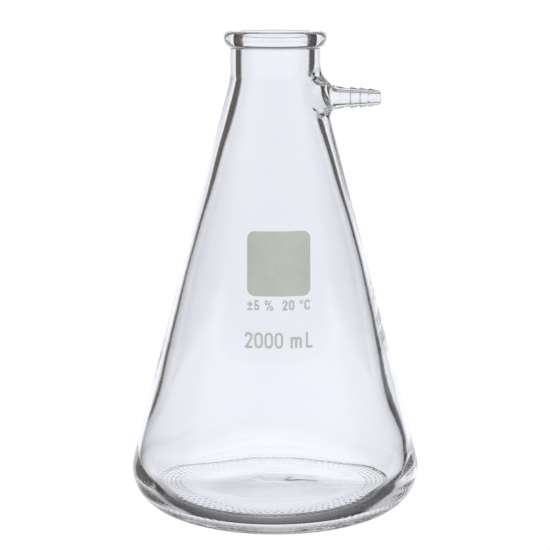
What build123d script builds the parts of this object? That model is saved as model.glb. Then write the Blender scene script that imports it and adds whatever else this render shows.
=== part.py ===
from build123d import *
import math
import os

# Heavy-wall conical vacuum filtration flask, nominal 2000 mL, borosilicate glass.
# Frame: origin on the flask axis at the bearing plane of the base, +Z up, side arm
# towards +X, enamel marks on the front (-Y). Dimensions in mm.

# ---------------------------------------------------------------- outer form of the vessel
BODY_R = 83.0                 # largest outer radius, at the heel
CONE_HALF_ANGLE = 14.746      # degrees
HEEL_UPPER_R = 19.5           # heel arc that meets the cone
HEEL_LOWER_R = 11.8           # tighter heel arc that meets the bearing ring
HEEL_SPLIT_ANGLE = -53.5      # degrees, where the two heel arcs meet
NECK_R = 25.05
BEAD_UNDER_Z = 258.6          # underside of the rim bead
RIM_Z = 267.4                 # top of the rim
BEAD_R = 28.6                 # nominal outer radius of the rim bead
RIM_FLAT_R = BEAD_R - 4.3     # where the bead runs out into the flat top of the rim
RIM_OVERLAP = 2.0             # depth to which the rim piece reaches into the neck
RING_IN_R = 50.0              # inner edge of the bearing ring
PUNT_H = 4.0                  # rise of the push-up at the middle of the base
PUNT_BEND = (RING_IN_R - 8, PUNT_H * 0.3)   # (radius, height) of the bend in the push-up

# Bead section from the neck out, up and over to the rim: (radius, height)
BEAD_PROFILE = [
    (NECK_R, BEAD_UNDER_Z),
    (NECK_R + 1.9, BEAD_UNDER_Z + 1.25),
    (BEAD_R - 0.25, BEAD_UNDER_Z + 3.9),
    (BEAD_R - 0.3, RIM_Z - 2.6),
    (BEAD_R - 1.9, RIM_Z - 0.55),
    (RIM_FLAT_R, RIM_Z),
]

# ---------------------------------------------------------------- inner form of the vessel
NECK_BORE_R = 19.5            # cylindrical stopper seat
MOUTH_R = 3.0                 # rounding of the mouth into the bore
BORE_TOP_Z = RIM_Z - MOUTH_R  # where the bore starts to open into the rim
BORE_BOTTOM_Z = 240.0         # where the bore opens into the cone
FLOOR_MID_Z = 12.5            # inside floor height on the axis
FLOOR_VIA = (32, FLOOR_MID_Z - 1.45)   # (radius, height) partway along the floor arc
CUT_OVERRUN = 1.0             # how far the cavity and the arm bore run past the glass

# Inside of the heel and cone wall, from the edge of the floor upwards: (radius, height)
INNER_SIDE = [
    (63.1, 6.9), (67.7, 7.35), (70.9, 8.6), (73.44, 10.7), (75.29, 13.6), (76.42, 17.2),
    (76.8, 22.4), (74.3, 34.0), (66.8, 55.0), (60.2, 83.0), (54.2, 111.0), (47.8, 139.0),
    (42.0, 159.5), (35.5, 180.5), (29.5, 201.0), (25.0, 216.0), (21.9, 228.0), (19.9, 237.0),
]

# ---------------------------------------------------------------- side arm, parallel to X
ARM_Z = 230.75                # height of the arm axis
ARM_TIP_X = 58.85             # end of the arm, measured from the flask axis
ARM_ROOT_X = 35.65            # where the weld flare has narrowed to the arm
ARM_ROOT_R = 6.25
SLEEVE_END_X = 31.0           # plain sleeve inside the weld, tapering to the arm root
SLEEVE_R = ARM_ROOT_R + 1.5
WELD_FILLET = 6.0             # outside blend between arm and wall

# Serrations: (x of the crest, crest radius, height of the step facing the flask)
BARBS = [(42.1, 5.98, 0.92), (47.4, 5.65, 0.72), (52.3, 5.12, 0.52)]
BARB_LAND = 0.8               # short cylindrical land on each crest
STEP_LENGTH = 0.55            # length of each step along the arm
CREST_CHAMFER = (0.1, 0.12)   # (along the arm, radial) chamfer at the top of each step

ARM_TIP_R = 3.95              # outer radius just before the tip is rounded
TIP_ROUND_START = 1.1         # distance from the end at which the rounding starts
TIP_ROUND_VIA = (0.3, 0.35)   # (distance from the end, radial drop) partway round
TIP_ROUND_DROP = 0.9          # radial drop at the end face
ARM_BORE_ROOT_R = 3.5         # tapered bore, where the arm joins the flare
ARM_BORE_TIP_R = 2.35         # tapered bore, at the tip

# Inside of the weld flare: (distance from the flask axis, radius about the arm axis)
FLARE = [
    (15.0, 9.5), (20.0, 9.0), (24.0, 8.4), (27.5, 7.5),
    (29.8, 6.5), (31.3, 5.45), (32.8, 4.45), (34.2, 3.78),
]

# ---------------------------------------------------------------- fired-on enamel marks
ENAMEL_T = 0.2
MARK_X = 1.9                  # middle of all marks, a little to the right of the axis
MARK_PLANE_Y = -95.0          # drawing plane in front of the flask
MARK_CUT_DEPTH = 90.0         # reach of the drawn shapes behind that plane
PATCH_W, PATCH_TOP_Z, PATCH_BOTTOM_Z = 34.0, 162.3, 128.5
PATCH_CORNER_R = 4.0
PATCH_SKIN_MARGIN = 5.0       # extra skin above and below the panel

# Block characters are drawn on a height of 1.
LETTER_GAP = 0.13
FINE_PENS = {"%": 0.13, "o": 0.11}   # widest pen for the small rings

os.makedirs("parts", exist_ok=True)


# ---------------------------------------------------------------- shared geometry
def on_circle(x, z, radius, angle):
    """Point on a circle about (x, z), angle in radians."""
    return (x + radius * math.cos(angle), z + radius * math.sin(angle))


# The two heel arcs are tangent where they meet, and tangent to the cone and the base.
cone_angle = math.radians(CONE_HALF_ANGLE)
split_angle = math.radians(HEEL_SPLIT_ANGLE)
upper_x = BODY_R - HEEL_UPPER_R
lower_x = upper_x + (HEEL_UPPER_R - HEEL_LOWER_R) * math.cos(split_angle)
upper_z = HEEL_LOWER_R + (HEEL_LOWER_R - HEEL_UPPER_R) * math.sin(split_angle)
lower_mid_angle = (-math.pi / 2 + split_angle) / 2
ring_out = (lower_x, 0.0)
heel_lower_mid = on_circle(lower_x, HEEL_LOWER_R, HEEL_LOWER_R, lower_mid_angle)
heel_split = on_circle(upper_x, upper_z, HEEL_UPPER_R, split_angle)
heel_upper_mid = on_circle(upper_x, upper_z, HEEL_UPPER_R, (split_angle + cone_angle) / 2)
cone_foot = on_circle(upper_x, upper_z, HEEL_UPPER_R, cone_angle)
neck_foot_z = cone_foot[1] + (cone_foot[0] - NECK_R) / math.tan(cone_angle)

arm_axis = Axis((0, 0, ARM_Z), (1, 0, 0))

# Half profiles are drawn on the west (-X) side, so that the seam of every turned
# surface of the vessel lies opposite the side arm.
west = Plane((0, 0, 0), x_dir=(-1, 0, 0), z_dir=(0, 1, 0))


def cone_r(z):
    """Outer radius of the cone at height z."""
    return NECK_R + (neck_foot_z - z) * math.tan(cone_angle)


def arm_point(x, radius):
    """Point of an arm profile on the west plane, on the lower side of the arm axis."""
    return (-x, ARM_Z - radius)


def front_plane(x, z):
    """Drawing plane for a mark, seen from the front."""
    return Plane((x, MARK_PLANE_Y, z), x_dir=(1, 0, 0), z_dir=(0, -1, 0))


def save(part, name):
    part.label = name
    export_step(part, f"parts/{name}.step")


# ---------------------------------------------------------------- glass
def build_envelope():
    """Filled outer form below the rim, with the arm root blended into it."""
    with BuildPart() as envelope:
        with BuildSketch(west):
            with BuildLine():
                Polyline((0, PUNT_H), PUNT_BEND, (RING_IN_R, 0), ring_out)
                ThreePointArc(ring_out, heel_lower_mid, heel_split)
                ThreePointArc(heel_split, heel_upper_mid, cone_foot)
                Polyline(
                    cone_foot,
                    (NECK_R, neck_foot_z),
                    (NECK_R, BEAD_UNDER_Z),
                    (0, BEAD_UNDER_Z),
                    (0, PUNT_H),
                )
            make_face()
        revolve(axis=Axis.Z)
        with BuildSketch(west):
            with BuildLine():
                Polyline(
                    arm_point(0, 0),
                    arm_point(0, SLEEVE_R),
                    arm_point(SLEEVE_END_X, SLEEVE_R),
                    arm_point(ARM_ROOT_X, ARM_ROOT_R),
                    arm_point(ARM_ROOT_X, 0),
                    arm_point(0, 0),
                )
            make_face()
        revolve(axis=arm_axis)
        # The curve where arm and wall meet is the only spline edge.
        weld_line = envelope.edges().filter_by(GeomType.BSPLINE)
        fillet(weld_line, radius=WELD_FILLET)
    return envelope.part


def build_rim():
    """Solid rounded bead, bored later together with the neck."""
    rim_bottom_z = BEAD_UNDER_Z - RIM_OVERLAP
    with BuildPart() as rim:
        with BuildSketch(west):
            with BuildLine():
                Polyline((0, rim_bottom_z), (NECK_R, rim_bottom_z), BEAD_PROFILE[0])
                Spline(*BEAD_PROFILE, tangents=((0.35, 1), (-1, 0)))
                Polyline(BEAD_PROFILE[-1], (0, RIM_Z), (0, rim_bottom_z))
            make_face()
        revolve(axis=Axis.Z)
    return rim.part


def build_barbs():
    """Solid serrated end of the arm, each barb's cone falling towards the tip."""
    chamfer_x, chamfer_r = CREST_CHAMFER
    outline = [arm_point(ARM_ROOT_X, 0), arm_point(ARM_ROOT_X, ARM_ROOT_R)]
    for x, radius, step in BARBS:
        outline += [
            arm_point(x - STEP_LENGTH, radius - step),
            arm_point(x - chamfer_x, radius - chamfer_r),
            arm_point(x, radius),
            arm_point(x + BARB_LAND, radius),
        ]
    outline.append(arm_point(ARM_TIP_X - TIP_ROUND_START, ARM_TIP_R))
    via_x, via_drop = TIP_ROUND_VIA
    round_end = arm_point(ARM_TIP_X, ARM_TIP_R - TIP_ROUND_DROP)
    with BuildPart() as barbs:
        with BuildSketch(west):
            with BuildLine():
                Polyline(*outline)
                ThreePointArc(
                    outline[-1],
                    arm_point(ARM_TIP_X - via_x, ARM_TIP_R - via_drop),
                    round_end,
                )
                Polyline(round_end, arm_point(ARM_TIP_X, 0), outline[0])
            make_face()
        revolve(axis=arm_axis)
    return barbs.part


def build_cavity():
    """Inside of the vessel: floor, heel, cone wall, stopper bore and flared mouth."""
    mouth_edge_r = NECK_BORE_R + MOUTH_R
    diagonal = math.sqrt(0.5)
    with BuildPart() as cavity:
        with BuildSketch(west):
            with BuildLine():
                ThreePointArc((0, FLOOR_MID_Z), FLOOR_VIA, INNER_SIDE[0])
                Spline(*INNER_SIDE)
                Polyline(
                    INNER_SIDE[-1],
                    (NECK_BORE_R, BORE_BOTTOM_Z),
                    (NECK_BORE_R, BORE_TOP_Z),
                )
                ThreePointArc(
                    (NECK_BORE_R, BORE_TOP_Z),
                    (mouth_edge_r - MOUTH_R * diagonal, BORE_TOP_Z + MOUTH_R * diagonal),
                    (mouth_edge_r, RIM_Z),
                )
                Polyline(
                    (mouth_edge_r, RIM_Z),
                    (mouth_edge_r, RIM_Z + CUT_OVERRUN),
                    (0, RIM_Z + CUT_OVERRUN),
                    (0, FLOOR_MID_Z),
                )
            make_face()
        revolve(axis=Axis.Z)
    return cavity.part


def build_arm_bore():
    """Tapered bore of the arm, opening into the vessel with a trumpet mouth."""
    flare = [arm_point(x, radius) for x, radius in FLARE]
    flare_axis_point = arm_point(FLARE[0][0], 0)
    bore_root = arm_point(ARM_ROOT_X, ARM_BORE_ROOT_R)
    with BuildPart() as arm_bore:
        with BuildSketch(west):
            with BuildLine():
                Line(flare_axis_point, flare[0])
                Spline(*flare, bore_root)
                Polyline(
                    bore_root,
                    arm_point(ARM_TIP_X, ARM_BORE_TIP_R),
                    arm_point(ARM_TIP_X + CUT_OVERRUN, ARM_BORE_TIP_R),
                    arm_point(ARM_TIP_X + CUT_OVERRUN, 0),
                    flare_axis_point,
                )
            make_face()
        revolve(axis=arm_axis)
    return arm_bore.part


def build_flask_body(arm_bore):
    """Vessel with the weld flare pulled out of its wall."""
    with BuildPart() as flask_body:
        add(build_envelope())
        add(build_rim())
        add(build_cavity(), mode=Mode.SUBTRACT)
        add(arm_bore, mode=Mode.SUBTRACT)
    return flask_body.part


def build_side_arm(arm_bore):
    """Serrated tube, fused to the narrow end of the flare."""
    with BuildPart() as side_arm:
        add(build_barbs())
        add(arm_bore, mode=Mode.SUBTRACT)
    return side_arm.part


# ---------------------------------------------------------------- lettering
def arc_path(x, y, radius_x, radius_y, start, end, steps):
    """Points on an elliptical arc about (x, y), angles in degrees."""
    angles = [math.radians(start + (end - start) * k / steps) for k in range(steps + 1)]
    return [(x + radius_x * math.cos(t), y + radius_y * math.sin(t)) for t in angles]


def stroke(path, pen, closed):
    """Outline loops of a pen stroke; a closed anticlockwise path gives [outer, inner]."""
    left, right = [], []
    count = len(path)
    for k, (x, y) in enumerate(path):
        if closed:
            (x0, y0), (x1, y1) = path[k - 1], path[(k + 1) % count]
        else:
            (x0, y0), (x1, y1) = path[max(k - 1, 0)], path[min(k + 1, count - 1)]
        length = math.hypot(x1 - x0, y1 - y0)
        offset_x = -(y1 - y0) / length * pen / 2
        offset_y = (x1 - x0) / length * pen / 2
        left.append((x + offset_x, y + offset_y))
        right.append((x - offset_x, y - offset_y))
    if closed:
        return [right, left]
    return [left + right[::-1]]


def glyph(letter, pen):
    """Block character of height 1: (advance width, [(path, closed)])."""
    h = pen / 2
    if letter == "0":
        r = 0.31 - h
        top = arc_path(0.31, 1 - h - r, r, r, 0, 180, 12)
        low = arc_path(0.31, h + r, r, r, 180, 360, 12)
        return 0.62, [(top + low, True)]
    if letter == "2":
        r = 0.29 - h
        bow = arc_path(0.3, 1 - h - r, r, r, 165, -35, 16)
        return 0.6, [(bow + [(0.06 + h, h + 0.02)], False), ([(0.02, h), (0.59, h)], False)]
    if letter == "5":
        r = 0.31 - h
        return 0.62, [
            ([(0.07, 1 - h), (0.56, 1 - h)], False),
            ([(0.1, 1 - h / 2), (0.07 + h, 0.47)], False),
            (arc_path(0.29, h + r, r, r, 135, -150, 18), False),
        ]
    if letter == "m":
        r = 0.2 - h / 2
        strokes = [([(h, 0), (h, 0.72)], False)]
        for k in (1, 2):
            arch = arc_path(h + (2 * k - 1) * r + 0.01 * k, 0.72 - h - r, r, r, 180, 0, 12)
            strokes.append((arch + [(h + 2 * k * r + 0.01 * k, 0)], False))
        return 1.0, strokes
    if letter == "L":
        return 0.52, [([(h, 0), (h, 1)], False), ([(0, h), (0.5, h)], False)]
    if letter == "+":   # plus sign over a bar
        return 0.6, [
            ([(0.3, 0.28), (0.3, 0.88)], False),
            ([(0, 0.58), (0.6, 0.58)], False),
            ([(0, h), (0.6, h)], False),
        ]
    if letter == "%":
        return 0.94, [
            (arc_path(0.2, 0.76, 0.2 - h, 0.24 - h, 0, 360, 18)[:-1], True),
            (arc_path(0.74, 0.24, 0.2 - h, 0.24 - h, 0, 360, 18)[:-1], True),
            ([(0.27, 0), (0.67, 1)], False),
        ]
    if letter == "o":   # degree ring
        return 0.38, [(arc_path(0.19, 0.81, 0.19 - h, 0.19 - h, 0, 360, 18)[:-1], True)]
    if letter == "C":
        r = 0.33 - h
        top = arc_path(0.34, 1 - h - r, r, r, 25, 180, 12)
        low = arc_path(0.34, h + r, r, r, 180, 335, 12)
        return 0.66, [(top + low, False)]
    return 0.3, []      # space


def extruded_text(text, height, width, pen, middle_z):
    """A line of block characters reaching back through the cone wall."""
    advance = sum(glyph(letter, pen)[0] + LETTER_GAP for letter in text) - LETTER_GAP
    scale_x = width / advance
    x = MARK_X - width / 2
    with BuildPart() as line:
        with BuildSketch(front_plane(0, middle_z - height / 2)):
            for letter in text:
                letter_pen = min(pen, FINE_PENS.get(letter, pen))
                letter_width, strokes = glyph(letter, letter_pen)
                for path, closed in strokes:
                    loops = stroke(path, letter_pen, closed)
                    for loop, mode in zip(loops, (Mode.ADD, Mode.SUBTRACT)):
                        points = [(x + u * scale_x, v * height) for u, v in loop]
                        with BuildLine():
                            Polyline(*points, close=True)
                        make_face(mode=mode)
                x += (letter_width + LETTER_GAP) * scale_x
        extrude(amount=-MARK_CUT_DEPTH)
    return line.part


# ---------------------------------------------------------------- enamel
def skin(z_low, z_high):
    """Thin conical skin on the outside of the cone between two heights."""
    with BuildPart() as layer:
        with BuildSketch(Plane((0, 0, 0), x_dir=(0, 1, 0), z_dir=(1, 0, 0))):
            with BuildLine():
                Polyline(
                    (cone_r(z_low), z_low),
                    (cone_r(z_low) + ENAMEL_T, z_low),
                    (cone_r(z_high) + ENAMEL_T, z_high),
                    (cone_r(z_high), z_high),
                    close=True,
                )
            make_face()
        revolve(axis=Axis.Z)
    return layer.part


def build_marking_patch():
    """Plain write-on panel with rounded corners."""
    with BuildPart() as patch:
        with BuildSketch(front_plane(MARK_X, (PATCH_TOP_Z + PATCH_BOTTOM_Z) / 2)):
            RectangleRounded(PATCH_W, PATCH_TOP_Z - PATCH_BOTTOM_Z, PATCH_CORNER_R)
        extrude(amount=-MARK_CUT_DEPTH)
        add(
            skin(PATCH_BOTTOM_Z - PATCH_SKIN_MARGIN, PATCH_TOP_Z + PATCH_SKIN_MARGIN),
            mode=Mode.INTERSECT,
        )
    return patch.part


def build_print(text, height, width, pen, middle_z, skin_reach):
    """Line of text on the cone; skin_reach is the skin above and below its middle."""
    with BuildPart() as mark:
        add(extruded_text(text, height, width, pen, middle_z))
        add(skin(middle_z - skin_reach, middle_z + skin_reach), mode=Mode.INTERSECT)
    return mark.part


# ---------------------------------------------------------------- pieces
arm_bore = build_arm_bore()
save(build_flask_body(arm_bore), "flask_body")
save(build_side_arm(arm_bore), "side_arm")
save(build_marking_patch(), "marking_patch")
save(
    build_print("+5 %  20 oC", height=5.4, width=33.8, pen=0.2, middle_z=123.8, skin_reach=6),
    "tolerance_print",
)
save(
    build_print("2000 mL", height=8.4, width=36.7, pen=0.15, middle_z=105.6, skin_reach=8),
    "capacity_print",
)
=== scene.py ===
"""A 2000 mL conical glass flask with a barbed side arm and enamel marks.

The axis is Z and the bearing ring touches z = 0. The side arm points along +X,
and the marks are on the front, which faces -Y and the camera. The glass and the
marks are worked out in millimetres; the stage, lights and camera are in metres.
"""
import math

import bpy
import numpy as np
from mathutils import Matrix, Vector


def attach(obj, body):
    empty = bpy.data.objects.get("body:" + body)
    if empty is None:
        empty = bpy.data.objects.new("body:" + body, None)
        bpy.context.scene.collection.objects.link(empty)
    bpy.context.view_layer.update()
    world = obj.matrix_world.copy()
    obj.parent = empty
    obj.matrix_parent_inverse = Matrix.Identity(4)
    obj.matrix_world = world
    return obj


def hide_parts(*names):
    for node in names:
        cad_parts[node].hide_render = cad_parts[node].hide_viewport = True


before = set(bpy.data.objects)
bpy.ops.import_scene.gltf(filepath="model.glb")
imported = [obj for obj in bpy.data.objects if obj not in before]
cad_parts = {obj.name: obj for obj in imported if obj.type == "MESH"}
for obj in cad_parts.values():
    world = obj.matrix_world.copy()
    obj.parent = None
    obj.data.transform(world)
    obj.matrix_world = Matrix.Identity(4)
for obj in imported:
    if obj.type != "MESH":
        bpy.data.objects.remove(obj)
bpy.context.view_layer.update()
MM = 0.001

# ---------------------------------------------------------------- dimensions (mm)
BODY_R = 83.0
CONE_ANGLE = math.radians(14.746)        # slope of the wall, off the vertical
HEEL_UPPER_R, HEEL_LOWER_R = 19.5, 11.8  # the heel is two tangent arcs
HEEL_JOIN = math.radians(-53.5)          # angle at which they meet
NECK_R = 25.05
NECK_BLEND = 0.9                         # softening of the corner of cone and neck
BEAD_UNDER_Z, RIM_Z, BEAD_R = 258.6, 267.4, 28.6
BORE_R, MOUTH_EDGE_R = 19.5, 3.0

ARM_Z = 230.75
ARM_ROOT_X, ARM_ROOT_R = 35.65, 6.25
ARM_TIP_X, ARM_TIP_R, ARM_TIP_BORE_R = 58.85, 3.95, 2.38
ARM_FLARE = 0.17                         # growth of the radius towards the wall
# crest x, crest radius, depth of the step before the crest
BARBS = ((42.1, 5.95, 0.92), (47.4, 5.65, 0.72), (52.3, 5.12, 0.52))
# x, radius of the bore through the arm, from the flask's inside outwards
ARM_BORE = np.array([
    (12.0, 9.7), (20.0, 9.0), (24.0, 8.4), (27.5, 7.5), (29.8, 6.5), (31.3, 5.45),
    (32.8, 4.45), (34.2, 3.78), (ARM_ROOT_X, 3.5), (40.0, 3.3), (47.0, 3.0),
    (53.0, 2.68), (60.0, 2.32)])

RING_Z = 0.36                  # plain surface of the bearing ring, above its bumps
PUNT_R, PUNT_RISE = 50.5, 3.55           # hollow under the base
FLOOR_R, FLOOR_Z, FLOOR_RISE = 62.2, 6.9, 5.6
# radius, z of the inner wall, from the neck down to the floor
INNER_WALL = [
    (BORE_R, 240.0), (19.9, 237.0), (21.9, 228.0), (25.0, 216.0), (29.5, 201.0),
    (35.5, 180.5), (42.0, 159.5), (47.8, 139.0), (54.2, 111.0), (60.2, 83.0),
    (66.8, 55.0), (74.3, 34.0), (76.8, 22.4), (76.35, 17.6), (75.05, 13.9),
    (72.95, 10.9), (70.1, 8.7), (66.6, 7.36), (FLOOR_R, FLOOR_Z)]

HEEL_UPPER_X = BODY_R - HEEL_UPPER_R
HEEL_LOWER_X = HEEL_UPPER_X + (HEEL_UPPER_R - HEEL_LOWER_R) * math.cos(HEEL_JOIN)
HEEL_UPPER_Z = HEEL_LOWER_R + (HEEL_LOWER_R - HEEL_UPPER_R) * math.sin(HEEL_JOIN)
CONE_FOOT_R = HEEL_UPPER_X + HEEL_UPPER_R * math.cos(CONE_ANGLE)
CONE_FOOT_Z = HEEL_UPPER_Z + HEEL_UPPER_R * math.sin(CONE_ANGLE)
CONE_TOP_Z = CONE_FOOT_Z + (CONE_FOOT_R - NECK_R) / math.tan(CONE_ANGLE)

# turned grid, and the window in it that the weld with the arm replaces
SEGMENTS = 480
WINDOW_LOW_Z, WINDOW_HIGH_Z, WINDOW_ROWS = 212.0, 252.0, 41
WINDOW_HALF_COLUMNS = 60                 # 45 degrees each side of +X
WINDOW_ARC_R = 27.6                      # turns the window's columns into widths

THETA = np.arange(SEGMENTS) * 2 * math.pi / SEGMENTS
WINDOW_Z = np.linspace(WINDOW_LOW_Z, WINDOW_HIGH_Z, WINDOW_ROWS)
WINDOW_COLUMNS = np.arange(-WINDOW_HALF_COLUMNS, WINDOW_HALF_COLUMNS + 1) % SEGMENTS


# ---------------------------------------------------------------- curves
def ease(value, start, end):
    """Smooth step from 0 at start to 1 at end."""
    t = np.clip((value - start) / (end - start), 0.0, 1.0)
    return t * t * (3 - 2 * t)


def smooth_min(first, second, blend):
    part = np.clip(0.5 + 0.5 * (second - first) / blend, 0.0, 1.0)
    return second * (1 - part) + first * part - blend * part * (1 - part)


def spline(points, samples):
    """Centripetal Catmull-Rom curve through points, with samples to a span."""
    points = np.array(points, float)
    before, after = 2 * points[0] - points[1], 2 * points[-1] - points[-2]
    points = np.vstack([before, points, after])
    curve = []
    for i in range(1, len(points) - 2):
        four = points[i - 1:i + 3]
        knots = [0.0]
        for k in range(3):
            knots.append(knots[-1] + np.linalg.norm(four[k + 1] - four[k]) ** 0.5)
        t = np.linspace(knots[1], knots[2], samples, endpoint=False)[:, None]

        def between(first, second, low, high):
            span = knots[high] - knots[low]
            return (knots[high] - t) / span * first + (t - knots[low]) / span * second

        short = [between(four[k], four[k + 1], k, k + 1) for k in range(3)]
        long = [between(short[k], short[k + 1], k, k + 2) for k in range(2)]
        curve.append(between(long[0], long[1], 1, 2))
    curve.append(points[-2][None])
    return np.vstack(curve)


def arc_points(centre_r, centre_z, radius, start, end, steps):
    t = np.linspace(start, end, steps + 1)
    return np.c_[centre_r + radius * np.cos(t), centre_z + radius * np.sin(t)]


def dome(radius, edge, rise):
    """Height of a cosine dome that falls to nothing at its edge."""
    return rise * (0.5 + 0.5 * np.cos(math.pi * radius / edge))


def chaikin(points, rounds):
    """Corner-cut open curve."""
    points = np.array(points, float)
    for _ in range(rounds):
        cut = [points[0]]
        for a, b in zip(points[:-1], points[1:]):
            cut += [a * 0.75 + b * 0.25, a * 0.25 + b * 0.75]
        cut.append(points[-1])
        points = np.array(cut)
    return points


# ---------------------------------------------------------------- wall radii
def cone_radius(z):
    return NECK_R + (CONE_TOP_Z - z) * math.tan(CONE_ANGLE)


def outer_radius(z):
    """Outer radius above the heel."""
    return -smooth_min(-cone_radius(z), -NECK_R * np.ones_like(z), NECK_BLEND)


inner_curve = spline(INNER_WALL, 24)
inner_rising = inner_curve[inner_curve[:, 1] > 21.0]
inner_rising = inner_rising[np.argsort(inner_rising[:, 1])]


def inner_radius(z):
    z = np.asarray(z, float)
    wall = np.interp(z, inner_rising[:, 1], inner_rising[:, 0])
    return np.where(z >= INNER_WALL[0][1], BORE_R, wall)


def off_axis(z):
    """Shift of the inner surface along X: low down, the wall is thicker towards +X."""
    return -1.4 * ease(z, 205.0, 55.0)


def wall_wave(theta, z):
    """Slow unevenness of blown glass, as a change of inner radius."""
    fade = ease(z, 14.0, 44.0) * ease(z, 236.0, 206.0)
    # ovality and three lobes, both turning slowly with height
    wave = 0.16 * np.sin(2 * theta + 0.9 + z * 0.011)
    wave = wave + 0.10 * np.sin(3 * theta - 1.7 + z * 0.023)
    # level rings, then five faint flutes
    wave = wave + 0.07 * np.sin(z * 0.16 + 1.3 * np.sin(theta))
    wave = wave + 0.05 * np.sin(5 * theta + z * 0.05)
    # a broad hollow on the +X side
    hollow = 1.35 * (0.5 + 0.5 * np.cos(theta))
    wave = wave + hollow * np.exp(-((z - 92.0) / 44.0) ** 2)
    return wave * fade


# ---------------------------------------------------------------- turned profile
def turned_profile():
    """Rows (radius, z, kind) from the middle of the base, out, up, over the rim and
    down the inside to the middle of the floor; and the first row of each window."""
    profile = []

    def add(points, kind):
        profile.extend((float(radius), float(z), kind) for radius, z in points)

    punt_r = np.linspace(0.0, PUNT_R, 30)[1:]
    add(np.c_[punt_r, RING_Z + dome(punt_r, PUNT_R, PUNT_RISE)], "punt")
    add([(radius, RING_Z) for radius in np.arange(51.0, 70.6, 0.42)], "ring")
    heel_start = -math.asin((HEEL_LOWER_R - RING_Z) / HEEL_LOWER_R)
    add(arc_points(HEEL_LOWER_X, HEEL_LOWER_R, HEEL_LOWER_R, heel_start, HEEL_JOIN, 9), "out")
    add(arc_points(HEEL_UPPER_X, HEEL_UPPER_Z, HEEL_UPPER_R, HEEL_JOIN, CONE_ANGLE, 34)[1:],
        "out")
    cone_z = np.linspace(CONE_FOOT_Z, WINDOW_LOW_Z, 40)[1:-1]
    add(np.c_[outer_radius(cone_z), cone_z], "out")
    outer_start = len(profile)
    add(np.c_[outer_radius(WINDOW_Z), WINDOW_Z], "out")
    add([(NECK_R, z) for z in (253.3, 254.6, 255.9, 257.0, 257.7)], "out")
    bead = [(NECK_R, 258.15), (NECK_R + 0.22, BEAD_UNDER_Z),
            (NECK_R + 1.75, BEAD_UNDER_Z + 1.0), (BEAD_R - 0.35, BEAD_UNDER_Z + 3.6),
            (BEAD_R - 0.02, RIM_Z - 2.9), (BEAD_R - 0.75, RIM_Z - 1.0),
            (BEAD_R - 2.5, RIM_Z - 0.16), (BEAD_R - 4.2, RIM_Z), (BEAD_R - 5.6, RIM_Z)]
    add(spline(bead, 6), "bead")
    add(arc_points(BORE_R + MOUTH_EDGE_R, RIM_Z - MOUTH_EDGE_R, MOUTH_EDGE_R,
                   math.pi / 2, math.pi, 12), "mouth")
    add([(BORE_R, z) for z in (262.8, 261.0, 259.0, 257.0, 255.0, 253.5)], "in")
    inner_start = len(profile)
    add(np.c_[inner_radius(WINDOW_Z[::-1]), WINDOW_Z[::-1]], "in")

    # below the window, thinned to wide spacing on the wall and close spacing at the heel
    lower = inner_curve[inner_curve[:, 1] < WINDOW_LOW_Z - 0.6]
    kept = [lower[0]]
    for point in lower[1:]:
        spacing = 3.2 if point[1] > 40 else 0.8
        if np.linalg.norm(point - kept[-1]) > spacing:
            kept.append(point)
    add(kept, "in")
    floor_r = np.linspace(FLOOR_R, 0.0, 46)[1:-1]
    add(np.c_[floor_r, FLOOR_Z + dome(floor_r, FLOOR_R, FLOOR_RISE)], "floor")
    return profile, outer_start, inner_start


rows, OUTER_START, INNER_START = turned_profile()
ROW_R = np.array([radius for radius, _, _ in rows])
ROW_Z = np.array([z for _, z, _ in rows])
ROW_KIND = np.array([kind for _, _, kind in rows])


def turned_grid():
    """Points of the vessel by row and column, before any detail."""
    points = np.zeros((len(rows), SEGMENTS, 3))
    for i, (radius, z, kind) in enumerate(rows):
        # the shift fades out towards the middle of the floor
        shift = off_axis(z) * {"in": 1.0, "floor": radius / FLOOR_R}.get(kind, 0.0)
        if kind == "in":
            radius = radius + wall_wave(THETA, z)
        points[i, :, 0] = radius * np.cos(THETA) + shift
        points[i, :, 1] = radius * np.sin(THETA)
        points[i, :, 2] = z
    return points


def stipple_ring(points):
    """Staggered circles of low bumps under the bearing ring."""
    circles = (55.0, 58.2, 61.4, 64.6, 67.9)
    dots = 92
    half_length, half_width = 1.35, 1.15
    size = 0.8 + 0.35 * np.random.RandomState(11).rand(len(circles), dots)
    for i in np.where(ROW_KIND == "ring")[0]:
        radius = ROW_R[i]
        bump = np.zeros(SEGMENTS)
        for k, circle in enumerate(circles):
            if abs(radius - circle) > 1.5:
                continue
            turn = THETA / (2 * math.pi) * dots + (0.5 if k % 2 else 0.0)
            dot = np.floor(turn).astype(int) % dots
            along = (turn - np.floor(turn) - 0.5) * 2 * math.pi * radius / dots
            away = np.sqrt((along / half_length) ** 2 + ((radius - circle) / half_width) ** 2)
            shape = np.where(away < 1, 0.5 + 0.5 * np.cos(math.pi * np.minimum(away, 1)), 0)
            bump = np.maximum(bump, shape * size[k, dot])
        points[i, :, 2] = RING_Z - np.minimum(bump, 1.0) * RING_Z


def ripple_floor(points):
    """Faint concentric and streaky ripples pressed into the middle of the floor."""
    for i in np.where(ROW_KIND == "floor")[0]:
        radius = ROW_R[i]
        x, y = radius * np.cos(THETA), radius * np.sin(THETA)
        extent = np.exp(-((x - 8.0) / 34.0) ** 2 - ((y + 6.0) / 28.0) ** 2)
        extent = extent * ease(radius, FLOOR_R, FLOOR_R - 12.0)
        streak = 0.20 * np.sin(y * 0.21 + 0.9 * np.sin(x * 0.07) + 0.3)
        streak = streak + 0.04 * np.sin(y * 0.62 - x * 0.05 + 1.1)
        circles = 0.07 * math.sin(radius * 0.62)
        lobes = 0.05 * np.sin(3 * THETA + radius * 0.13) * min(radius / 6.0, 1.0)
        points[i, :, 2] += extent * (streak + circles + lobes)


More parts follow.
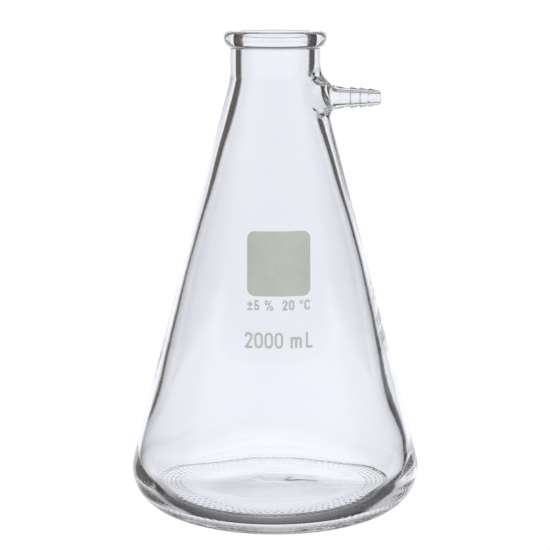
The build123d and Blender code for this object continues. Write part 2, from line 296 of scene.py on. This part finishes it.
# ---------------------------------------------------------------- weld of wall and arm
bore_x = np.linspace(ARM_BORE[0, 0], ARM_BORE[-1, 0], 400)
bore_kernel = np.hanning(19)[1:-1]
bore_smooth = np.convolve(
    np.pad(np.interp(bore_x, ARM_BORE[:, 0], ARM_BORE[:, 1]), 8, mode="edge"),
    bore_kernel / bore_kernel.sum(), "valid")


def bore_radius(x):
    return np.interp(x, bore_x, bore_smooth)


def arm_radius(x):
    return ARM_ROOT_R + ARM_FLARE * np.clip(ARM_ROOT_X - x, -1, 12)


def outer_field(points):
    """Implicit outer surface; the blend is wider above the arm and tight at its root."""
    x, y, z = points[..., 0], points[..., 1], points[..., 2]
    from_axis = np.hypot(x, y)
    body = smooth_min((from_axis - cone_radius(z)) * math.cos(CONE_ANGLE),
                      from_axis - NECK_R, NECK_BLEND)
    arm = np.hypot(y, z - ARM_Z) - arm_radius(x)
    blend = 8.0 + 4.0 * ease(z, ARM_Z - 6.0, ARM_Z + 8.0)
    return smooth_min(body, arm, blend * (1 - 0.75 * ease(x, 28.0, 35.6)))


def inner_field(points):
    """Implicit inner surface of the cavity and the arm's bore."""
    x, y, z = points[..., 0], points[..., 1], points[..., 2]
    theta = np.arctan2(y, x - off_axis(z))
    cavity = np.hypot(x - off_axis(z), y) - inner_radius(z) - wall_wave(theta, z)
    bore = np.hypot(y, z - ARM_Z) - bore_radius(x)
    return smooth_min(cavity, bore, 5.0 * (1 - 0.9 * ease(x, 25.0, 30.0)))


def project(points, field, steps):
    """Moves points onto the zero of a field by Newton steps."""
    probe = 1e-3
    for _ in range(steps):
        value = field(points)
        slope = np.stack([(field(points + axis) - field(points - axis)) / (2 * probe)
                          for axis in np.eye(3) * probe], -1)
        steepness = np.maximum((slope ** 2).sum(-1), 1e-6)
        points = points - (value / steepness)[..., None] * slope
    return points


def settle_near_arm(points):
    """Puts the rows round the window on the blended surfaces."""
    near = np.abs((THETA + math.pi) % (2 * math.pi) - math.pi) < math.radians(75)
    for kind, low, high, field in (("out", 200.0, 258.0, outer_field),
                                   ("in", 205.0, 256.0, inner_field)):
        for i in np.where((ROW_KIND == kind) & (ROW_Z > low) & (ROW_Z < high))[0]:
            points[i, near] = project(points[i, near], field, 6)


def window_loop(first_row, rising):
    """Grid places (row, column) round a window, anticlockwise seen from +X."""
    last = WINDOW_ROWS - 1
    low_row = first_row if rising else first_row + last
    step = 1 if rising else -1
    loop = [(low_row, c) for c in WINDOW_COLUMNS]
    loop += [(low_row + step * k, WINDOW_COLUMNS[-1]) for k in range(1, last)]
    loop += [(low_row + step * last, c) for c in WINDOW_COLUMNS[::-1]]
    loop += [(low_row + step * k, WINDOW_COLUMNS[0]) for k in range(last - 1, 0, -1)]
    return loop


grid = turned_grid()
stipple_ring(grid)
ripple_floor(grid)
settle_near_arm(grid)

outer_loop = window_loop(OUTER_START, True)
inner_loop = window_loop(INNER_START, False)
LOOP_SIZE = len(outer_loop)

# angle round the arm of each point of a loop; columns are counted from +X
loop_z = np.array([ROW_Z[row] for row, _ in outer_loop])
loop_column = np.array([(c + SEGMENTS // 2) % SEGMENTS - SEGMENTS // 2 for _, c in outer_loop])
PHI = np.arctan2(loop_z - ARM_Z, WINDOW_ARC_R * loop_column * 2 * math.pi / SEGMENTS)


def weld_rings(loop, field, wall_radius, corner_r, tube_radius, wall_steps, tube_steps, shift):
    """Rings of points from the window's edge along the wall, over the blend and along
    the tube to the arm's root. The rings turn the corner at corner_r from the arm's axis."""
    start = np.array([grid[row, c] for row, c in loop])
    start_z = start[:, 2]
    start_theta = np.arctan2(start[:, 1], start[:, 0] - shift(start_z))
    corner_z = ARM_Z + corner_r * np.sin(PHI)
    corner_theta = np.arcsin(corner_r * np.cos(PHI) / wall_radius(corner_z))

    def tube_ring(x):
        radius = tube_radius(x)
        return np.stack([x, radius * np.cos(PHI), ARM_Z + radius * np.sin(PHI)], -1)

    rings = []
    for k in range(1, wall_steps + 1):
        t = k / wall_steps
        theta = start_theta + (corner_theta - start_theta) * t
        z = start_z + (corner_z - start_z) * t
        radius = wall_radius(z)
        rings.append(np.stack([radius * np.cos(theta) + shift(z),
                               radius * np.sin(theta), z], -1))
    corner_x = rings[-1][:, 0]
    for k in range(1, tube_steps + 1):
        rings.append(tube_ring(corner_x + (ARM_ROOT_X - corner_x) * k / tube_steps))
    rings = project(np.array(rings), field, 14)
    rings[-1] = tube_ring(np.full(LOOP_SIZE, ARM_ROOT_X))
    return rings


# ---------------------------------------------------------------- meshes
def add_mesh(name, verts, faces, materials, seam_faces=0, smooth=True):
    """Object from points in mm; its last seam_faces faces take the second material."""
    mesh = bpy.data.meshes.new(name)
    mesh.from_pydata([tuple(v) for v in np.asarray(verts) * MM], [], faces)
    for material in materials:
        mesh.materials.append(material)
    if seam_faces:
        indices = np.zeros(len(faces), np.int32)
        indices[-seam_faces:] = 1
        mesh.polygons.foreach_set("material_index", indices)
    mesh.polygons.foreach_set("use_smooth", np.full(len(mesh.polygons), smooth))
    mesh.validate()
    mesh.update()
    ob = bpy.data.objects.new(name, mesh)
    bpy.context.scene.collection.objects.link(ob)
    return ob


def sharpen_root(ob):
    """Marks sharp the edges that lie in the plane of the arm's root."""
    mesh = ob.data
    points = np.zeros(len(mesh.vertices) * 3, np.float32)
    mesh.vertices.foreach_get("co", points)
    points = points.reshape(-1, 3) / MM
    ends = np.zeros(len(mesh.edges) * 2, np.int32)
    mesh.edges.foreach_get("vertices", ends)
    ends = ends.reshape(-1, 2)
    in_plane = np.abs(points[:, 0] - ARM_ROOT_X) < 1e-3
    near_arm = np.abs(points[ends[:, 0], 2] - ARM_Z) < 7
    sharp = in_plane[ends[:, 0]] & in_plane[ends[:, 1]] & near_arm
    mesh.edges.foreach_set("use_edge_sharp", sharp)
    mesh.update()


def band(first, second):
    """Quads between two closed loops of vertex numbers."""
    count = len(first)
    return [(first[a], first[(a + 1) % count], second[(a + 1) % count], second[a])
            for a in range(count)]


def glass_vessel(materials):
    inside = np.zeros((len(rows), SEGMENTS), bool)
    hole = np.zeros((len(rows), SEGMENTS), bool)
    for start in (OUTER_START, INNER_START):
        end = start + WINDOW_ROWS - 1
        inside[start + 1:end, WINDOW_COLUMNS[1:-1]] = True
        hole[start:end, WINDOW_COLUMNS[:-1]] = True
    verts = list(grid[~inside])
    number = -np.ones((len(rows), SEGMENTS), int)
    number[~inside] = np.arange(len(verts))
    base_pole, floor_pole = len(verts), len(verts) + 1
    verts.append((0.0, 0.0, RING_Z + PUNT_RISE))
    verts.append((0.0, 0.0, FLOOR_Z + FLOOR_RISE + 0.02))

    faces = []
    for i in range(len(rows) - 1):
        quads = band(number[i], number[i + 1])
        faces += [quad for j, quad in enumerate(quads) if not hole[i, j]]
    for j in range(SEGMENTS):
        k = (j + 1) % SEGMENTS
        faces.append((base_pole, number[0, k], number[0, j]))
        faces.append((floor_pole, number[-1, j], number[-1, k]))

    def add_weld(loop, rings, flip):
        last = [number[row, c] for row, c in loop]
        for ring in rings:
            new = list(range(len(verts), len(verts) + LOOP_SIZE))
            verts.extend(ring)
            faces.extend(band(new, last) if flip else band(last, new))
            last = new
        return last

    outer_rings = weld_rings(outer_loop, outer_field, outer_radius, 8.2, arm_radius,
                             wall_steps=20, tube_steps=18, shift=lambda z: 0.0 * z)
    inner_rings = weld_rings(inner_loop, inner_field, inner_radius, 10.6, bore_radius,
                             wall_steps=14, tube_steps=30, shift=off_axis)
    outer_end = add_weld(outer_loop, outer_rings, flip=False)
    inner_end = add_weld(inner_loop, inner_rings, flip=True)
    faces += band(outer_end, inner_end)
    ob = add_mesh("glass_vessel", verts, faces, materials, seam_faces=LOOP_SIZE)
    sharpen_root(ob)
    return ob


def glass_arm(materials):
    """Arm from root to tip and back along the bore, closed by the seam at the root."""
    points = [(ARM_ROOT_X, ARM_ROOT_R), (ARM_ROOT_X + 0.8, ARM_ROOT_R - 0.15)]
    for x, crest, step in BARBS:
        points += [(x - 1.5, crest - step + 0.12), (x - 0.5, crest - step),
                   (x - 0.25, crest - step + 0.15), (x - 0.08, crest - 0.12),
                   (x + 0.14, crest), (x + 0.5, crest - 0.04)]
    points += [(ARM_TIP_X - 1.6, ARM_TIP_R + 0.12), (ARM_TIP_X - 0.5, ARM_TIP_R - 0.1),
               (ARM_TIP_X, ARM_TIP_R - 0.42), (ARM_TIP_X - 0.15, ARM_TIP_BORE_R + 0.12),
               (ARM_TIP_X - 1.0, ARM_TIP_BORE_R + 0.02)]
    back_x = np.linspace(ARM_TIP_X - 1.6, ARM_ROOT_X, 22)
    profile = np.vstack([chaikin(points, 2), np.c_[back_x, bore_radius(back_x)]])
    verts = [(x, radius * math.cos(phi), ARM_Z + radius * math.sin(phi))
             for x, radius in profile for phi in PHI]
    rings = np.arange(len(verts)).reshape(-1, LOOP_SIZE)
    faces = []
    for i in range(len(rings)):
        faces += band(rings[i], rings[(i + 1) % len(rings)])
    ob = add_mesh("glass_side_arm", verts, faces, materials, seam_faces=LOOP_SIZE)
    sharpen_root(ob)
    return ob


# ---------------------------------------------------------------- enamel marks
MARK_X = 1.9                             # middle of the marks
PATCH_TOP, PATCH_BOTTOM, PATCH_WIDTH, PATCH_CORNER = 162.3, 128.5, 34.0, 4.0
ENAMEL_THICK, ENAMEL_SINK = 0.2, 0.03    # above and below the glass surface
LETTER_GAP = 0.13                        # between characters, in character units


def arc_path(centre_x, centre_y, radius_x, radius_y, start, end, steps):
    """Points of an elliptical arc, angles in degrees."""
    angles = [math.radians(start + (end - start) * k / steps) for k in range(steps + 1)]
    return [(centre_x + radius_x * math.cos(angle), centre_y + radius_y * math.sin(angle))
            for angle in angles]


def glyph(character, weight):
    """Plain block character of height 1: (advance, stroke width, paths)."""
    half = weight / 2

    def bow(centre_x, centre_y, radius, start, end, steps):
        return arc_path(centre_x, centre_y, radius, radius, start, end, steps)

    if character == "0":
        radius = 0.31 - half
        path = bow(0.31, 1 - half - radius, radius, 0, 180, 12)
        path += bow(0.31, half + radius, radius, 180, 360, 12)
        return 0.62, weight, [path + [path[0]]]
    if character == "2":
        radius = 0.29 - half
        top = bow(0.3, 1 - half - radius, radius, 165, -35, 16)
        return 0.6, weight, [top + [(0.06 + half, half + 0.02)],
                             [(0.02 + half, half), (0.59 - half, half)]]
    if character == "5":
        radius = 0.31 - half
        return 0.62, weight, [[(0.07 + half, 1 - half), (0.56 - half, 1 - half)],
                              [(0.1 + half * 0.4, 1 - half), (0.07 + half, 0.5)],
                              bow(0.29, half + radius, radius, 135, -150, 18)]
    if character == "m":
        radius = 0.2 - half / 2
        top = 0.72 - half
        paths = [[(half, half), (half, top)]]
        for k, nudge in ((1, 0.01), (3, 0.02)):
            leg = (half + (k + 1) * radius + nudge, half)
            paths.append(bow(half + k * radius + nudge, top - radius, radius, 180, 0, 12) + [leg])
        # both legs keep to whole bows; the second is nudged by the same two hundredths
        paths[1][-1] = (half + 2 * radius + 0.01, half)
        return 1.0, weight, paths
    if character == "L":
        return 0.52, weight, [[(half, half), (half, 1 - half)],
                              [(half, half), (0.5 - half, half)]]
    if character == "+":                 # plus over minus
        return 0.6, weight, [[(0.3, 0.28 + half), (0.3, 0.88 - half)],
                             [(half, 0.58), (0.6 - half, 0.58)],
                             [(half, half), (0.6 - half, half)]]
    if character == "%":
        thin = min(weight, 0.13)
        rings = [arc_path(x, y, 0.2 - thin / 2, 0.24 - thin / 2, 0, 360, 18)
                 for x, y in ((0.2, 0.76), (0.74, 0.24))]
        return 0.94, thin, rings + [[(0.29, 0.06), (0.65, 0.94)]]
    if character == "o":                 # degree sign
        thin = min(weight, 0.11)
        return 0.38, thin, [bow(0.19, 0.81, 0.19 - thin / 2, 0, 360, 18)]
    if character == "C":
        radius = 0.33 - half
        return 0.66, weight, [bow(0.34, 1 - half - radius, radius, 25, 180, 12)
                              + bow(0.34, half + radius, radius, 180, 335, 12)]
    return 0.3, weight, []               # space


def segment_distance(x, y, start, end):
    run, rise = end[0] - start[0], end[1] - start[1]
    along = (x - start[0]) * run + (y - start[1]) * rise
    t = np.clip(along / max(run * run + rise * rise, 1e-12), 0, 1)
    return np.hypot(x - start[0] - t * run, y - start[1] - t * rise)


def sample_axis(middle, size, margin, step):
    return np.arange(middle - size / 2 - margin, middle + size / 2 + margin, step)


# A field is (x samples, z samples, signed distance, negative inside), in the XZ plane.
def print_field(text, height, width, weight, middle_z, step):
    """Field of a line of characters."""
    advance = sum(glyph(c, weight)[0] + LETTER_GAP for c in text) - LETTER_GAP
    scale_x = width / advance
    scale = (height + scale_x) / 2       # for stroke widths
    xs = sample_axis(MARK_X, width, 0.5, step)
    zs = sample_axis(middle_z, height, 0.5, step)
    grid_x, grid_z = np.meshgrid(xs, zs)
    distance = np.full(grid_x.shape, 9.0)
    left = MARK_X - width / 2
    bottom = middle_z - height / 2
    for character in text:
        step_on, stroke, paths = glyph(character, weight)
        for path in paths:
            points = [(left + x * scale_x, bottom + y * height) for x, y in path]
            for a, b in zip(points[:-1], points[1:]):
                near = (xs >= min(a[0], b[0]) - 1.2) & (xs <= max(a[0], b[0]) + 1.2)
                away = segment_distance(grid_x[:, near], grid_z[:, near], a, b)
                distance[:, near] = np.minimum(distance[:, near], away - stroke * scale / 2)
        left += (step_on + LETTER_GAP) * scale_x
    return xs, zs, distance


def patch_field():
    """Field of the rounded rectangle."""
    middle_z, height = (PATCH_TOP + PATCH_BOTTOM) / 2, PATCH_TOP - PATCH_BOTTOM
    xs = sample_axis(MARK_X, PATCH_WIDTH, 0.6, 0.4)
    zs = sample_axis(middle_z, height, 0.6, 0.4)
    grid_x, grid_z = np.meshgrid(xs, zs)
    over_x = np.abs(grid_x - MARK_X) - PATCH_WIDTH / 2 + PATCH_CORNER
    over_z = np.abs(grid_z - middle_z) - height / 2 + PATCH_CORNER
    distance = np.hypot(np.maximum(over_x, 0), np.maximum(over_z, 0))
    return xs, zs, distance + np.minimum(np.maximum(over_x, over_z), 0) - PATCH_CORNER


def enamel(name, field, material):
    """Marching-squares fill of a field, wrapped on the cone as a closed layer."""
    xs, zs, distance = field
    distance = np.where(np.abs(distance) < 1e-6, 1e-6, distance)
    index, points, faces = {}, [], []

    def vert(key, x, z):
        if key not in index:
            index[key] = len(points)
            points.append((x, z))
        return index[key]

    filled = distance < 0
    cells = filled[:-1, :-1] | filled[1:, :-1] | filled[:-1, 1:] | filled[1:, 1:]
    for i, j in zip(*np.nonzero(cells)):
        corners = [(i, j), (i, j + 1), (i + 1, j + 1), (i + 1, j)]
        polygon = []
        for a, b in zip(corners, corners[1:] + corners[:1]):
            at_a, at_b = distance[a], distance[b]
            x, z = xs[a[1]], zs[a[0]]
            if at_a < 0:
                polygon.append(vert(a, x, z))
            if (at_a < 0) != (at_b < 0):
                t = at_a / (at_a - at_b)
                polygon.append(vert((min(a, b), max(a, b)),
                                    x + (xs[b[1]] - x) * t, z + (zs[b[0]] - z) * t))
        polygon = [v for k, v in enumerate(polygon) if v != polygon[k - 1]]
        if len(polygon) >= 3:
            faces.append(tuple(polygon))
    count = len(points)
    points = np.array(points)

    def wrap(offset):
        radius = cone_radius(points[:, 1]) + offset / math.cos(CONE_ANGLE)
        return np.c_[points[:, 0], -np.sqrt(radius ** 2 - points[:, 0] ** 2), points[:, 1]]

    # a dict keeps the edges in order
    edges = dict.fromkeys(e for face in faces for e in zip(face, face[1:] + face[:1]))
    rim = [(b, a, a + count, b + count) for a, b in edges if (b, a) not in edges]
    back = [tuple(v + count for v in face[::-1]) for face in faces]
    return add_mesh(name, np.vstack([wrap(ENAMEL_THICK), wrap(-ENAMEL_SINK)]),
                    faces + back + rim, [material], smooth=False)


# ---------------------------------------------------------------- shader helpers
def add_node(tree, kind, inputs=None, **settings):
    """New node; each input takes a value, or a link where a socket is given."""
    node = tree.nodes.new(kind)
    for key, value in settings.items():
        setattr(node, key, value)
    for key, value in (inputs or {}).items():
        if isinstance(value, bpy.types.NodeSocket):
            tree.links.new(value, node.inputs[key])
        else:
            node.inputs[key].default_value = value
    return node


def maths(tree, operation, *operands):
    inputs = dict(enumerate(operands))
    return add_node(tree, "ShaderNodeMath", inputs, operation=operation).outputs[0]


def noise(tree, vector, **inputs):
    return add_node(tree, "ShaderNodeTexNoise", {"Vector": vector, **inputs}).outputs["Fac"]


def map_range(tree, value, start, end, low=0.0, high=1.0, kind="LINEAR"):
    inputs = {"Value": value, "From Min": start, "From Max": end, "To Min": low, "To Max": high}
    node = add_node(tree, "ShaderNodeMapRange", inputs, interpolation_type=kind)
    return node.outputs["Result"]


def smooth_range(tree, value, start, end):
    return map_range(tree, value, start, end, kind="SMOOTHSTEP")


def mix_color(tree, factor, first, second):
    return add_node(tree, "ShaderNodeMix", {0: factor, 6: first, 7: second},
                    data_type="RGBA").outputs[2]


def ramp(tree, factor, stops):
    """Colour ramp from (position, colour) stops."""
    node = add_node(tree, "ShaderNodeValToRGB", {"Fac": factor})
    elements = node.color_ramp.elements
    while len(elements) > 1:
        elements.remove(elements[-1])
    for k, (position, color) in enumerate(stops):
        element = elements[0] if k == 0 else elements.new(position)
        element.position = position
        element.color = color + (1.0,)
    return node.outputs["Color"]


def bump(tree, height, strength, distance):
    inputs = {"Strength": strength, "Distance": distance, "Height": height}
    return add_node(tree, "ShaderNodeBump", inputs).outputs["Normal"]


def new_material(name):
    """Material with an empty tree."""
    material = bpy.data.materials.new(name)
    material.use_nodes = True
    tree = material.node_tree
    tree.nodes.clear()
    return material, tree


def object_coords(tree):
    return add_node(tree, "ShaderNodeTexCoord").outputs["Object"]


def set_surface(tree, shader):
    add_node(tree, "ShaderNodeOutputMaterial", {"Surface": shader.outputs[0]})


def white_to_camera(tree, color):
    """Plain white where the camera looks straight at it, the colour for other rays."""
    path = add_node(tree, "ShaderNodeLightPath")
    return mix_color(tree, path.outputs["Is Camera Ray"], color, (1, 1, 1, 1))


# ---------------------------------------------------------------- materials
def glass_material():
    """Borosilicate glass: clear, with faint cords, a trace of tint and soft scuffs."""
    material, tree = new_material("borosilicate_glass")
    coords = object_coords(tree)
    stretched = add_node(tree, "ShaderNodeMapping",
                         {"Vector": coords, "Scale": (7.0, 7.0, 26.0)}).outputs["Vector"]
    cords = noise(tree, stretched, Scale=3.0, Detail=3.0, Roughness=0.45)
    scuffs = noise(tree, coords, Scale=160.0, Detail=4.0, Roughness=0.6)
    tint = ramp(tree, cords, [(0.3, (0.985, 0.988, 0.994)), (0.7, (0.996, 0.998, 1.0))])
    set_surface(tree, add_node(tree, "ShaderNodeBsdfPrincipled", {
        "IOR": 1.473,
        "Transmission Weight": 1.0,
        "Base Color": tint,
        "Roughness": map_range(tree, scuffs, 0.62, 0.85, low=0.0, high=0.05),
        "Normal": bump(tree, cords, strength=0.12, distance=0.0006)}))
    return material


def seam_material():
    """The fused face shared by wall and arm: glass runs straight through it."""
    material, tree = new_material("fused_seam")
    mottle = noise(tree, object_coords(tree), Scale=40.0)
    tint = ramp(tree, mottle, [(0.3, (0.995, 0.996, 0.997)), (0.7, (1.0, 1.0, 1.0))])
    set_surface(tree, add_node(tree, "ShaderNodeBsdfTransparent", {"Color": tint}))
    return material


def enamel_material():
    """Fired ceramic enamel: white, matt, finely mottled and slightly granular; its grey-green
    colour is painted shade.
    """
    material, tree = new_material("fired_enamel")
    coords = object_coords(tree)
    broad = noise(tree, coords, Scale=55.0, Detail=5.0, Roughness=0.65)
    fine = noise(tree, coords, Scale=900.0, Detail=3.0, Roughness=0.6)
    both = add_node(tree, "ShaderNodeMix", {0: 0.45, 2: broad, 3: fine},
                    data_type="FLOAT").outputs[0]
    # painted shade: the white enamel is given the dim grey-green it shows with bright light
    # behind it and faint light in front; the mottle between the stops is its own
    color = ramp(tree, both, [(0.32, (0.37, 0.395, 0.36)), (0.5, (0.42, 0.445, 0.405)),
                              (0.7, (0.47, 0.495, 0.455))])
    set_surface(tree, add_node(tree, "ShaderNodeBsdfPrincipled", {
        "Base Color": color,
        "Roughness": map_range(tree, fine, 0.3, 0.7, low=0.55, high=0.8),
        "Normal": bump(tree, fine, strength=0.35, distance=0.0001)}))
    return material


# ---------------------------------------------------------------- the flask
glass, seam, fired = glass_material(), seam_material(), enamel_material()
vessel = glass_vessel([glass, seam])
arm = glass_arm([glass, seam])
patch_mark = enamel("enamel_marking_patch", patch_field(), fired)
tolerance_mark = enamel(
    "enamel_tolerance_print",
    print_field("+5 %  20 oC", height=5.4, width=33.8, weight=0.2, middle_z=123.8, step=0.16),
    fired)
capacity_mark = enamel(
    "enamel_capacity_print",
    print_field("2000 mL", height=8.4, width=36.7, weight=0.15, middle_z=105.6, step=0.18),
    fired)

for ob, node_name, finish in ((vessel, "flask_body", "borosilicate_glass"),
                              (arm, "side_arm", "borosilicate_glass"),
                              (patch_mark, "marking_patch", "fired_enamel"),
                              (tolerance_mark, "tolerance_print", "fired_enamel"),
                              (capacity_mark, "capacity_print", "fired_enamel")):
    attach(ob, "root")
    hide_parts(node_name)

# ---------------------------------------------------------------- studio surround
# Colour by angle left (-) or right (+) of the view line: a white sweep straight on,
# dark flanks, and a light room behind the camera.
SIDE_STOPS = [
    (-180, (0.84, 0.85, 0.87)), (-140, (0.80, 0.80, 0.81)), (-113, (0.66, 0.62, 0.60)),
    (-100, (0.17, 0.10, 0.072)), (-60, (0.10, 0.075, 0.063)), (-37, (0.050, 0.040, 0.035)),
    (-34, (0.12, 0.10, 0.09)), (-31.5, (0.74, 0.73, 0.73)), (-29, (0.97, 0.98, 1.02)),
    (-20, (0.97, 0.99, 1.05)), (-9, (0.925, 0.945, 1.01)), (0, (0.87, 0.89, 0.955)),
    (9, (0.925, 0.945, 1.01)), (20, (0.97, 0.99, 1.05)), (29, (0.97, 0.98, 1.02)),
    (31.5, (0.72, 0.72, 0.73)), (34, (0.10, 0.095, 0.095)), (37, (0.030, 0.028, 0.028)),
    (60, (0.065, 0.060, 0.059)), (100, (0.15, 0.13, 0.12)), (113, (0.64, 0.63, 0.62)),
    (140, (0.80, 0.80, 0.81)), (180, (0.84, 0.85, 0.87))]
# Colour of the shaded table, from straight down (0) to level (1).
SHADE_STOPS = [
    (0.0, (0.90, 0.90, 0.92)), (0.012, (0.75, 0.75, 0.77)), (0.03, (0.24, 0.24, 0.25)),
    (0.10, (0.19, 0.185, 0.195)), (0.26, (0.11, 0.105, 0.11)), (0.40, (0.055, 0.055, 0.055)),
    (0.55, (0.07, 0.07, 0.072)), (0.8, (0.16, 0.16, 0.165)), (1.0, (0.2, 0.2, 0.2))]
GAP_COLOR = (0.085, 0.076, 0.074, 1)
OVERHEAD_COLOR = (0.55, 0.575, 0.54, 1)
LIT_SWEEP_COLOR = (0.97, 0.99, 1.04, 1)


def surround_group():
    """Studio colour for a direction in the camera's axes (x right, y up, z ahead)."""
    tree = bpy.data.node_groups.new("surround", "ShaderNodeTree")
    tree.interface.new_socket("Direction", in_out="INPUT", socket_type="NodeSocketVector")
    for name in ("Color", "Shade"):
        tree.interface.new_socket(name, in_out="OUTPUT", socket_type="NodeSocketColor")
    entry = add_node(tree, "NodeGroupInput")
    unit = add_node(tree, "ShaderNodeVectorMath", {0: entry.outputs[0]},
                    operation="NORMALIZE").outputs[0]
    x, y, z = add_node(tree, "ShaderNodeSeparateXYZ", {"Vector": unit}).outputs
    turn = maths(tree, "ARCTAN2", x, z)
    turn = maths(tree, "MULTIPLY_ADD", turn, 1 / (2 * math.pi), 0.5)
    # a little unevenness, so that no tone in the glass is perfectly flat
    uneven = noise(tree, unit, Scale=2.2, Detail=2.0)
    turn = maths(tree, "MULTIPLY_ADD", uneven, 0.006, turn)
    turn = maths(tree, "SUBTRACT", turn, 0.003)
    color = ramp(tree, turn, [(0.5 + angle / 360.0, tone) for angle, tone in SIDE_STOPS])
    # the sweep ends above the object, then a dark gap, then the overhead light
    color = mix_color(tree, smooth_range(tree, y, 0.46, 0.55), color, GAP_COLOR)
    color = mix_color(tree, smooth_range(tree, y, 0.66, 0.78), color, OVERHEAD_COLOR)
    # the table close under the object is in shade, with gathered light straight below
    shade = ramp(tree, map_range(tree, y, -1.0, 0.0), SHADE_STOPS)
    color = mix_color(tree, smooth_range(tree, y, -0.45, -0.58), color, shade)
    add_node(tree, "NodeGroupOutput", {0: color, 1: shade})
    return tree


def studio_world(surround):
    """White to the eye, and the surround for all that bounces or bends in the glass."""
    world = bpy.data.worlds.new("studio")
    bpy.context.scene.world = world
    world.use_nodes = True
    tree = world.node_tree
    tree.nodes.clear()
    view = add_node(tree, "ShaderNodeTexCoord").outputs["Camera"]
    tones = add_node(tree, "ShaderNodeGroup", {0: view}, node_tree=surround)
    color = white_to_camera(tree, tones.outputs[0])
    background = add_node(tree, "ShaderNodeBackground", {"Color": color})
    add_node(tree, "ShaderNodeOutputWorld", {"Surface": background.outputs[0]})


def floor_material(surround):
    """White to the eye, and in the glass the tones of the surround it runs into."""
    material, tree = new_material("stage_floor")
    geometry = add_node(tree, "ShaderNodeNewGeometry")

    def to_camera(vector, kind):
        return add_node(tree, "ShaderNodeVectorTransform", {0: vector}, vector_type=kind,
                        convert_from="WORLD", convert_to="CAMERA").outputs[0]

    def depth(vector):
        return add_node(tree, "ShaderNodeSeparateXYZ", {"Vector": vector}).outputs["Z"]

    outgoing = add_node(tree, "ShaderNodeVectorMath",
                        {0: geometry.outputs["Incoming"], "Scale": -1.0}, operation="SCALE")
    direction = to_camera(outgoing.outputs[0], "VECTOR")
    tones = add_node(tree, "ShaderNodeGroup", {0: direction}, node_tree=surround)
    # how far a point is from the foot of the axis, towards the camera and in all
    here = add_node(tree, "ShaderNodeTexCoord").outputs["Camera"]
    ahead = maths(tree, "SUBTRACT", depth(to_camera((0.0, 0.0, 0.0), "POINT")), depth(here))
    reach = add_node(tree, "ShaderNodeVectorMath", {0: geometry.outputs["Position"]},
                     operation="LENGTH").outputs["Value"]

    # the lit sweep behind and under the far half, then the shade round the foot's front
    lit = maths(tree, "MULTIPLY", smooth_range(tree, reach, 0.13, 0.10),
                smooth_range(tree, ahead, 0.0, -0.02))
    contact = maths(tree, "MULTIPLY", smooth_range(tree, reach, 0.066, 0.072),
                    smooth_range(tree, reach, 0.115, 0.088))
    contact = maths(tree, "MULTIPLY", contact, smooth_range(tree, ahead, -0.012, 0.018))
    color = mix_color(tree, lit, tones.outputs[0], LIT_SWEEP_COLOR)
    half_contact = maths(tree, "MULTIPLY", contact, 0.5)
    color = mix_color(tree, half_contact, color, tones.outputs[1])
    color = white_to_camera(tree, color)
    set_surface(tree, add_node(tree, "ShaderNodeEmission", {"Color": color}))
    return material


# ---------------------------------------------------------------- stage, lights, camera
AIM = Vector((0, 0, 0.13))
SOFTBOX_SIZE = 0.9
# name, place, power in watts
SOFTBOXES = (("key_soft", (-0.5, -1.1, 0.9), 9.0), ("fill_soft", (0.9, -0.8, 0.6), 6.0))
CAMERA_PLACE = (0.0, -0.8406, 0.2914)
CAMERA_DOWN = 10.886                     # degrees below level


def add_softbox(name, place, power):
    """Square light aimed at the flask, unseen in reflections and through the glass."""
    light = bpy.data.lights.new(name, "AREA")
    light.shape = "RECTANGLE"
    light.size = SOFTBOX_SIZE
    light.size_y = SOFTBOX_SIZE
    light.energy = power
    ob = bpy.data.objects.new(name, light)
    bpy.context.scene.collection.objects.link(ob)
    ob.location = place
    ob.rotation_euler = (AIM - Vector(place)).to_track_quat("-Z", "Y").to_euler()
    ob.visible_glossy = False
    ob.visible_transmission = False


def add_camera():
    lens = bpy.data.cameras.new("camera")
    ob = bpy.data.objects.new("camera", lens)
    bpy.context.scene.collection.objects.link(ob)
    lens.sensor_width = 36.0
    lens.lens = 98.024727
    lens.shift_x = -0.00036363636
    lens.clip_end = 50.0
    ob.location = CAMERA_PLACE
    ob.rotation_euler = (math.radians(90.0 - CAMERA_DOWN), 0.0, 0.0)
    bpy.context.scene.camera = ob


surround = surround_group()
studio_world(surround)
bpy.ops.mesh.primitive_plane_add(size=6.0, location=(0, 0, -0.0002))
floor = bpy.context.object
floor.name = "stage_floor"
floor.data.materials.append(floor_material(surround))
for softbox in SOFTBOXES:
    add_softbox(*softbox)
add_camera()

scene = bpy.context.scene
scene.view_settings.view_transform = "Standard"
scene.view_settings.look = "None"
scene.cycles.max_bounces = 64
scene.cycles.transmission_bounces = 64
scene.cycles.glossy_bounces = 64
scene.cycles.transparent_max_bounces = 16
